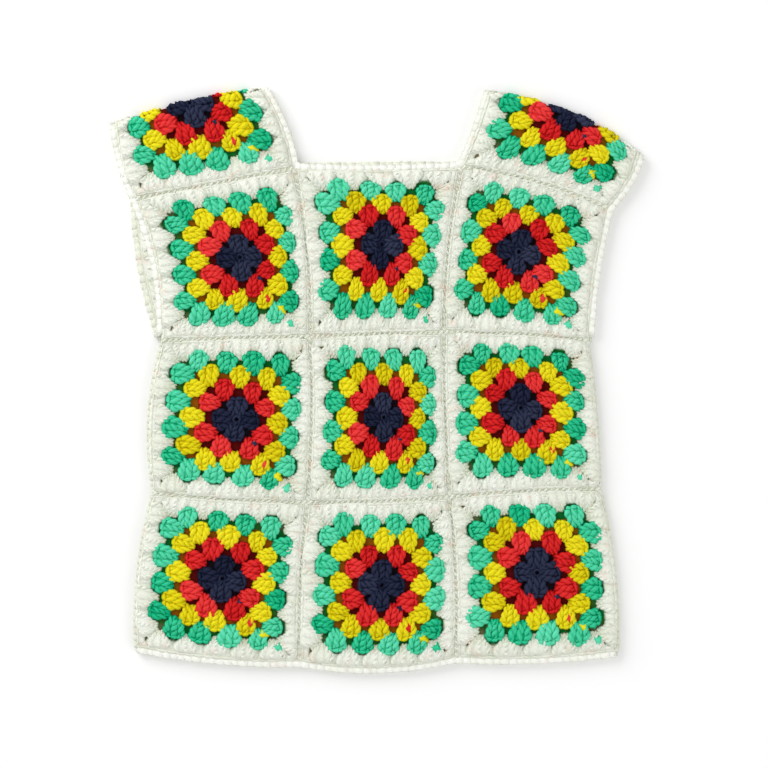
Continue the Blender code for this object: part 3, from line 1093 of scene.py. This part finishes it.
# Where a cluster's foot is, in from its round's line, and how unevenly it is placed
FOOT_INWARD = 7.1
UNEVEN_ACROSS, UNEVEN_UP = 0.6, 0.5
# The coloured rounds are drawn in from the side and turned a little, and the last one slips
DRAWN_IN = 0.965
TURNED = -0.06
SLIPPED, LAST_INWARD = 1.8, 2.2
# How far the coloured rounds' clusters move towards and in from a corner
CORNER_ACROSS, CORNER_INWARD = 0.7, 0.2
# Which quarter's end lies at the corner where the colours were joined, and how far it opens
JOINED_CORNER = {2: -1, 3: 1}
OPENED = 2.0
# How far the last round's clusters stand back from that corner and from the others
LAST_BACK_JOINED, LAST_BACK = 1.9, 0.7
# The chain across each corner, in from the last round's line, and its start and height
CORNER_CHAIN_INWARD = 6.6
OPEN_QUARTER, OPEN_CORNER, CLOSED_CORNER = 3, (0.8, 0.6), (-1.2, 0.95)
# How far out and how flat the border's chain lies under an edging, and how low by a corner
UNDER_EDGING, CLEAR = (0.8, 0.85), (0.0, 1.0)
BY_CORNER, LOW_BY_CORNER = 11, 0.62


def round_stitches(sizes, number, rng):
    """The clusters of one round of a square, on its four sides."""
    step = sizes.cluster_step
    found = []
    for quarter in range(4):
        for a in range(-(number - 1), number, 2):
            turn = quarter * math.pi / 2
            joined = JOINED_CORNER.get(quarter) == -np.sign(a)
            at_corner = abs(a) == number - 1
            x = a * step + rng.uniform(-UNEVEN_ACROSS, UNEVEN_ACROSS)
            y = number * step - FOOT_INWARD + rng.uniform(-UNEVEN_UP, UNEVEN_UP)
            width, height, loft = 1.14, 1.0, 1.12 if number == 4 else 1.0
            if number == len(ROUNDS):
                x, y, width = x + SLIPPED, y - LAST_INWARD, 1.0
                if at_corner:
                    back = LAST_BACK_JOINED if joined else LAST_BACK
                    x, width = x - math.copysign(back, a), 0.96
            else:
                if number == 1:
                    y, width, height = y - 1.0, 1.1, 0.98
                elif at_corner:
                    x, y, width = x + math.copysign(CORNER_ACROSS, a), y - CORNER_INWARD, 1.03
                    if joined:
                        x += math.copysign(OPENED, -a)
                x, y = x * DRAWN_IN, y * DRAWN_IN
                turn += TURNED
            found.append(stitch_at(x, y, turn, width, height, loft))
    return found


def corner_stitches(sizes):
    """The chain across each corner of a square, which lies farther out where it is open."""
    near = len(ROUNDS) * sizes.cluster_step - CORNER_CHAIN_INWARD
    found = []
    for quarter in range(4):
        turn = quarter * math.pi / 2
        start, height = OPEN_CORNER if quarter == OPEN_QUARTER else CLOSED_CORNER
        out = near + start
        found.append(stitch_at(out, out, turn, height=height, lean=-math.pi / 4))
    return found


def rimmed_quarters(key):
    """Which sides of a square carry an edging: 0 is the top, and on round to the left."""
    if key[0] == "shoulder":
        return (1, 3)
    if key[1] == 3:
        return (2,)
    return {(1, 1): (1,), (1, 2): (0,), (1, 3): (3,)}.get(key[1:], ())


def border_stitches(sizes, rimmed=()):
    """The chain along the four sides of a square, flat where an edging is worked over it."""
    reach = sizes.square_half - sizes.chain_inset
    count = round(2 * reach / sizes.chain_link)
    pitch = 2 * reach / count
    found = []
    for quarter in range(4):
        turn = quarter * math.pi / 2
        out, loft = UNDER_EDGING if quarter in rimmed else CLEAR
        for k in range(count):
            x = -reach + (k + 0.5) * pitch
            height = LOW_BY_CORNER if abs(x) > reach - BY_CORNER else 1.0
            width = pitch / sizes.chain_link
            found.append(stitch_at(x, reach + out, turn, width, height, loft))
    return found


def seam_line(sizes, sides, pitch, inset=0.0):
    """Stitches along the given sides of a square."""
    half = sizes.square_half
    count = round(2 * half / pitch)
    found = []
    for side in sides:
        turn = math.atan2(side[1], side[0]) - math.pi / 2
        for k in range(count):
            x = -half + (k + 0.5) * 2 * half / count
            found.append(stitch_at(x, half - inset, turn))
    return found


# A yarn's own colour, its painted colours in shade and in light, and of its flecks
Look = namedtuple("Look", "colour shadow light fleck")


def materials_of(scene):
    """The yarns, made once and kept by name."""
    colours = scene.vest_colours
    looks = {
        "navy": Look(colours.navy, (0.004, 0.005, 0.014), (0.040, 0.048, 0.095), None),
        "red": Look(colours.red, (0.26, 0.001, 0.002), (0.88, 0.065, 0.062), None),
        "yellow": Look(colours.yellow, (0.44, 0.29, 0.0005), (0.90, 0.80, 0.020), None),
        "green": Look(colours.green, (0.0001, 0.19, 0.07), (0.165, 0.81, 0.535), None),
        "white": Look(
            colours.white, (0.66, 0.69, 0.52), (0.86, 0.88, 0.80), (0.84, 0.66, 0.56)
        ),
        # The rims' white, painted lighter for the light their edges catch, with its painted shade
        # and light
        "edging": Look(
            colours.edging, (0.80, 0.825, 0.70), (0.955, 0.965, 0.91), (0.90, 0.79, 0.71)
        ),
    }
    made = {}
    for name, look in looks.items():
        key = f"plied_{name}_yarn"
        made[name] = bpy.data.materials.get(key) or yarn_material(key, look)
    return made


def shell_mesh(name, panels, sizes, cells):
    """A thin closed sheet over some squares. panels is a grid of rows of squares."""
    half = sizes.square_half
    lines = np.linspace(-half, half, cells + 1)
    rows, columns = len(panels), len(panels[0])
    sheets = []
    for z in (GROUND_TOP, GROUND_BOTTOM):
        points = np.zeros((columns * cells + 1, rows * cells + 1, 3))
        for j, row in enumerate(reversed(panels)):
            for i, square in enumerate(row):
                x, y = np.meshgrid(lines, lines, indexing="ij")
                laid = square.place(x.ravel(), y.ravel(), np.full(x.size, z))
                block = laid.reshape(cells + 1, cells + 1, 3)
                points[i * cells : (i + 1) * cells + 1, j * cells : (j + 1) * cells + 1] = block
        sheets.append(points)
    wide, long = sheets[0].shape[:2]
    verts = np.concatenate([s.reshape(-1, 3) for s in sheets])
    faces, uvs = [], []

    def at(side, i, j):
        return side * wide * long + i * long + j

    for i in range(wide - 1):
        for j in range(long - 1):
            quad = [(0, 0), (1, 0), (1, 1), (0, 1)]
            uv = [(lines[i % cells + a], lines[j % cells + b]) for a, b in quad]
            faces.append([at(0, i + a, j + b) for a, b in quad])
            faces.append([at(1, i + a, j + b) for a, b in reversed(quad)])
            uvs += uv + uv[::-1]
    ring = [(i, 0) for i in range(wide - 1)] + [(wide - 1, j) for j in range(long - 1)]
    ring += [(i, long - 1) for i in range(wide - 1, 0, -1)]
    ring += [(0, j) for j in range(long - 1, 0, -1)]
    for k, (i, j) in enumerate(ring):
        m, n = ring[(k + 1) % len(ring)]
        faces.append([at(0, i, j), at(1, i, j), at(1, m, n), at(0, m, n)])
        uvs += [(half, half)] * 4
    data = bpy.data.meshes.new(name)
    data.from_pydata(verts.tolist(), [], faces)
    layer = data.uv_layers.new(name="yarn")
    layer.data.foreach_set("uv", np.array(uvs, float).ravel())
    data.shade_smooth()
    return data


# The two faces of the ground cloth, from the middle of the cloth
GROUND_TOP, GROUND_BOTTOM = -0.35, -1.38
CLOTH_CELLS, FOLDED_CELLS = 16, 46
# From one piece of a square's cord to the next, in from its side, and along the seams
CORD_PITCH, CORD_INSET, SEAM_PITCH = 4.8, 1.1, 4.4

LAYERS = ("front", "back")
ORDER = (1, 2, 3)
# Which groups of squares are worked together, and how finely
GROUPS = {"front": FINE, "shoulder": FINE, "back": PLAIN}


class Step:
    """What each step of the work starts from: the sizes and the laid squares."""

    def execute(self, context):
        sizes = context.scene.vest_sizes
        self.work(context.scene, sizes, lay_squares(sizes))
        return {"FINISHED"}


class CROCHET_OT_cloth(Step, bpy.types.Operator):
    """Lays the cloth that shows between the stitches, painted in deep shade, and puts it in the
    solids' place
    """

    bl_idname = "crochet.cloth"
    bl_label = "Lay Cloth"

    def work(self, scene, sizes, squares):
        ground = ground_material()
        for layer in LAYERS:
            panels = [[squares[layer, row, column] for column in ORDER] for row in ORDER]
            data = shell_mesh(f"{layer}_cloth", panels, sizes, CLOTH_CELLS)
            if layer == "back":
                data.flip_normals()
            piece = add_piece(f"{layer}_cloth", data, ground)
            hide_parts(*[f"{layer}_r{r}c{c}" for r in ORDER for c in ORDER])
        for side in ("left", "right"):
            name = f"shoulder_cloth_{side}"
            data = shell_mesh(name, [[squares["shoulder", side]]], sizes, FOLDED_CELLS)
            piece = add_piece(name, data, ground)
            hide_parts(f"shoulder_{side}")


class CROCHET_OT_rounds(Step, bpy.types.Operator):
    """Works the clusters of every round"""

    bl_idname = "crochet.rounds"
    bl_label = "Work Rounds"

    def work(self, scene, sizes, squares):
        yarns = materials_of(scene)
        for group, detail in GROUPS.items():
            members = [square for key, square in squares.items() if key[0] == group]
            coloured = stitch_patterns(f"{group}_cluster", cluster, sizes, detail)
            pale = stitch_patterns(f"{group}_white_cluster", white_cluster, sizes, detail)
            rings = stitch_patterns(f"{group}_centre_ring", centre_ring, sizes, detail)
            centres = [(square, [stitch_at(0, 0, 0.4)]) for square in members]
            name = f"{group}_centre_rings"
            work_stitches(name, centres, rings, yarns["navy"], sizes.seed, "ring")
            for name, number in ROUNDS.items():
                rng = np.random.default_rng([sizes.seed, number])
                work_stitches(
                    f"{group}_{name}_round",
                    [(square, round_stitches(sizes, number, rng)) for square in members],
                    pale if name == "white" else coloured,
                    yarns[name],
                    sizes.seed + number,
                )


class CROCHET_OT_chains(Step, bpy.types.Operator):
    """Works the chain round every square and the stitches of the seams"""

    bl_idname = "crochet.chains"
    bl_label = "Work Chains and Seams"

    def work(self, scene, sizes, squares):
        white = materials_of(scene)["white"]
        cord = seam_line(sizes, (UP, DOWN, LEFT, RIGHT), CORD_PITCH, CORD_INSET)
        for group, detail in GROUPS.items():
            members = {key: square for key, square in squares.items() if key[0] == group}
            for kind, make, row in (
                ("chain", chain_link, None),
                ("cord", seam_cord, cord),
                ("corners", corner_chain, corner_stitches(sizes)),
            ):
                charts = [
                    (square, row or border_stitches(sizes, rimmed_quarters(key)))
                    for key, square in members.items()
                ]
                name = f"{group}_{kind}"
                links = stitch_patterns(f"{name}_pattern", make, sizes, detail)
                work_stitches(name, charts, links, white, sizes.seed, kind)
        joins = []
        for layer in LAYERS:
            for row in ORDER:
                for column in ORDER:
                    sides = [RIGHT] if column < 3 else []
                    sides += [UP] if row > 1 or column != 2 else []
                    joins.append((squares[layer, row, column], seam_line(sizes, sides, SEAM_PITCH)))
        slanting = stitch_patterns("seam_stitch", seam_stitch, sizes, FINE)
        work_stitches("seam_stitches", joins, slanting, white, sizes.seed, "seam")


class CROCHET_OT_inner_faces(Step, bpy.types.Operator):
    """Works the back's inner face where it shows beside the openings"""

    bl_idname = "crochet.inner_faces"
    bl_label = "Work Inner Faces"

    def work(self, scene, sizes, squares):
        white = materials_of(scene)["white"]
        last = round_stitches(sizes, len(ROUNDS), np.random.default_rng(sizes.seed))
        near = sizes.square_half * 0.7
        clusters, chains = [], []
        for column, side in ((1, LEFT), (2, UP), (3, RIGHT)):
            face = InnerFace(squares["back", 1, column])
            cord = seam_line(sizes, [side], CORD_PITCH)
            for charts, row in ((clusters, last), (chains, border_stitches(sizes)), (chains, cord)):
                beside = [s for s in row if s.x * side[0] + s.y * side[1] > near]
                charts.append((face, beside))
        for name, charts, pattern, make, hand in (
            ("inner_white_round", clusters, "inner_cluster", white_cluster, "cluster"),
            ("inner_chain", chains, "inner_chain_link", chain_link, "inner chain"),
        ):
            patterns = stitch_patterns(pattern, make, sizes, PLAIN)
            work_stitches(name, charts, patterns, white, sizes.seed, hand)


class CROCHET_OT_colour_joins(Step, bpy.types.Operator):
    """Leaves the small ends where each round's colour was joined, at one corner of a square"""

    bl_idname = "crochet.colour_joins"
    bl_label = "Leave Colour Joins"

    def work(self, scene, sizes, squares):
        yarns = materials_of(scene)
        ends = stitch_patterns("knot", knot, sizes, FINE)
        for join in COLOUR_JOINS:
            rng = np.random.default_rng([sizes.seed, ROUNDS[join.colour]])
            charts = []
            for square in (square for key, square in squares.items() if key[0] != "back"):
                x, y = join.x + rng.uniform(-0.8, 0.8), join.y + rng.uniform(-0.8, 0.8)
                turn = join.turn + rng.uniform(-0.4, 0.4)
                charts.append((square, [Stitch(x, y, turn, join.size, join.size, 1.0)]))
            yarn, slot = yarns[join.colour], f"{join.colour}_yarn"
            work_stitches(f"{join.colour}_ends", charts, ends, yarn, sizes.seed)


ColourJoin = namedtuple("ColourJoin", "colour x y turn size")
COLOUR_JOINS = (
    ColourJoin("navy", 13.6, -16.2, -0.8, 0.8),
    ColourJoin("red", 21.8, -30.8, 1.2, 1.1),
    ColourJoin("yellow", 32.0, -39.4, -1.0, 1.35),
    ColourJoin("green", 41.8, -48.6, -1.0, 1.2),
)


class CROCHET_OT_edging(Step, bpy.types.Operator):
    """Works the edging round the neck, the armholes and the hem"""

    bl_idname = "crochet.edging"
    bl_label = "Work Edging"

    def work(self, scene, sizes, squares):
        white = materials_of(scene)["edging"]
        patterns = stitch_patterns("edging_stitch", edging_stitch, sizes, PLAIN)
        for name, strip in edging_strips(sizes, squares).items():
            count = round(strip.length / (sizes.chain_link * 0.9))
            pitch = strip.length / count
            width = pitch / sizes.chain_link
            row = [stitch_at((k + 0.5) * pitch, 0, 0, width) for k in range(count)]
            rim, charts = name.replace("edging", "rim"), [(strip, row)]
            piece = work_stitches(rim, charts, patterns, white, sizes.seed, "rim")
            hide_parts(name)


class CROCHET_OT_declare(bpy.types.Operator):
    bl_idname = "crochet.declare"
    bl_label = "Declare Sheets"

    def execute(self, context):
        side = 2 * context.scene.vest_sizes.square_half * MM
        pieces = {o.name: o for o in bpy.data.objects if o.type == "MESH"}
        for layer, below in (("front", ["back_cloth"]), ("back", ["floor"])):
            going = [p for n, p in pieces.items() if n.startswith(f"{layer}_") and "round" in n]
            going += [pieces[f"{layer}_chain"], pieces[f"{layer}_centre_rings"]]
            3 * side
            3 * side
        return {"FINISHED"}


class CROCHET_OT_stage(bpy.types.Operator):
    """Sets the floor, the lights and the camera"""

    bl_idname = "crochet.stage"
    bl_label = "Set Stage"

    def execute(self, context):
        scene = context.scene
        bpy.ops.mesh.primitive_plane_add(size=12.0)
        floor = context.object
        floor.name = "floor"
        paper, shader, tree = start_material("white_paper")
        white = (0.96, 0.96, 0.96, 1)
        tree.fill(shader, {"Base Color": white, "Roughness": 0.9, "Specular IOR Level": 0.1})
        floor.data.materials.append(paper)
        for light in LIGHTS:
            lamp = bpy.data.lights.new(light.name, "AREA")
            lamp.shape, lamp.size, lamp.energy = "DISK", light.size, light.power
            holder = bpy.data.objects.new(light.name, lamp)
            holder.location = light.place
            holder.rotation_euler = (-Vector(light.place)).to_track_quat("-Z", "Y").to_euler()
            scene.collection.objects.link(holder)
        world = scene.world or bpy.data.worlds.new("studio")
        scene.world = world
        world.use_nodes = True
        sky = world.node_tree.nodes["Background"]
        sky.inputs["Color"].default_value = (1, 1, 1, 1)
        sky.inputs["Strength"].default_value = SKY_STRENGTH
        scene.view_settings.view_transform = "Standard"
        camera = bpy.data.cameras.new("overhead")
        camera.sensor_width = SENSOR
        camera.lens = SENSOR * CAMERA_HEIGHT / PHOTO_FIELD
        holder = bpy.data.objects.new("overhead", camera)
        holder.location = (*PHOTO_MIDDLE, CAMERA_HEIGHT)
        scene.collection.objects.link(holder)
        scene.camera = holder
        return {"FINISHED"}


Light = namedtuple("Light", "name place size power")
LIGHTS = (
    Light("key", (-1.9, 1.6, 1.35), 2.5, 51.0),
    Light("fill", (1.9, -1.5, 1.3), 2.4, 19.0),
)
SKY_STRENGTH = 0.715


class CROCHET_PT_vest(bpy.types.Panel):
    bl_idname = "CROCHET_PT_vest"
    bl_label = "Granny Square Vest"
    bl_space_type = "VIEW_3D"
    bl_region_type = "UI"
    bl_category = "Crochet"

    def draw(self, context):
        layout = self.layout
        for group in (context.scene.vest_sizes, context.scene.vest_colours):
            for name in group.__annotations__:
                layout.prop(group, name)
        for operator in OPERATORS:
            layout.operator(operator.bl_idname)


OPERATORS = (
    CROCHET_OT_cloth,
    CROCHET_OT_rounds,
    CROCHET_OT_chains,
    CROCHET_OT_inner_faces,
    CROCHET_OT_colour_joins,
    CROCHET_OT_edging,
    CROCHET_OT_declare,
    CROCHET_OT_stage,
)
CLASSES = (VestSizes, VestColours, *OPERATORS, CROCHET_PT_vest)


def register():
    for cls in CLASSES:
        bpy.utils.register_class(cls)
    bpy.types.Scene.vest_sizes = PointerProperty(type=VestSizes)
    bpy.types.Scene.vest_colours = PointerProperty(type=VestColours)


def unregister():
    del bpy.types.Scene.vest_colours
    del bpy.types.Scene.vest_sizes
    for cls in reversed(CLASSES):
        bpy.utils.unregister_class(cls)


def main():
    register()
    bpy.ops.crochet.cloth()
    bpy.ops.crochet.rounds()
    bpy.ops.crochet.chains()
    bpy.ops.crochet.inner_faces()
    bpy.ops.crochet.colour_joins()
    bpy.ops.crochet.edging()
    bpy.ops.crochet.stage()
    bpy.ops.crochet.declare()
    for collection in list(bpy.data.collections):
        if collection.name not in bpy.context.scene.collection.children:
            for pattern in list(collection.objects):
                if not pattern.users_scene:
                    bpy.data.objects.remove(pattern)


if __name__ == "__main__":
    main()
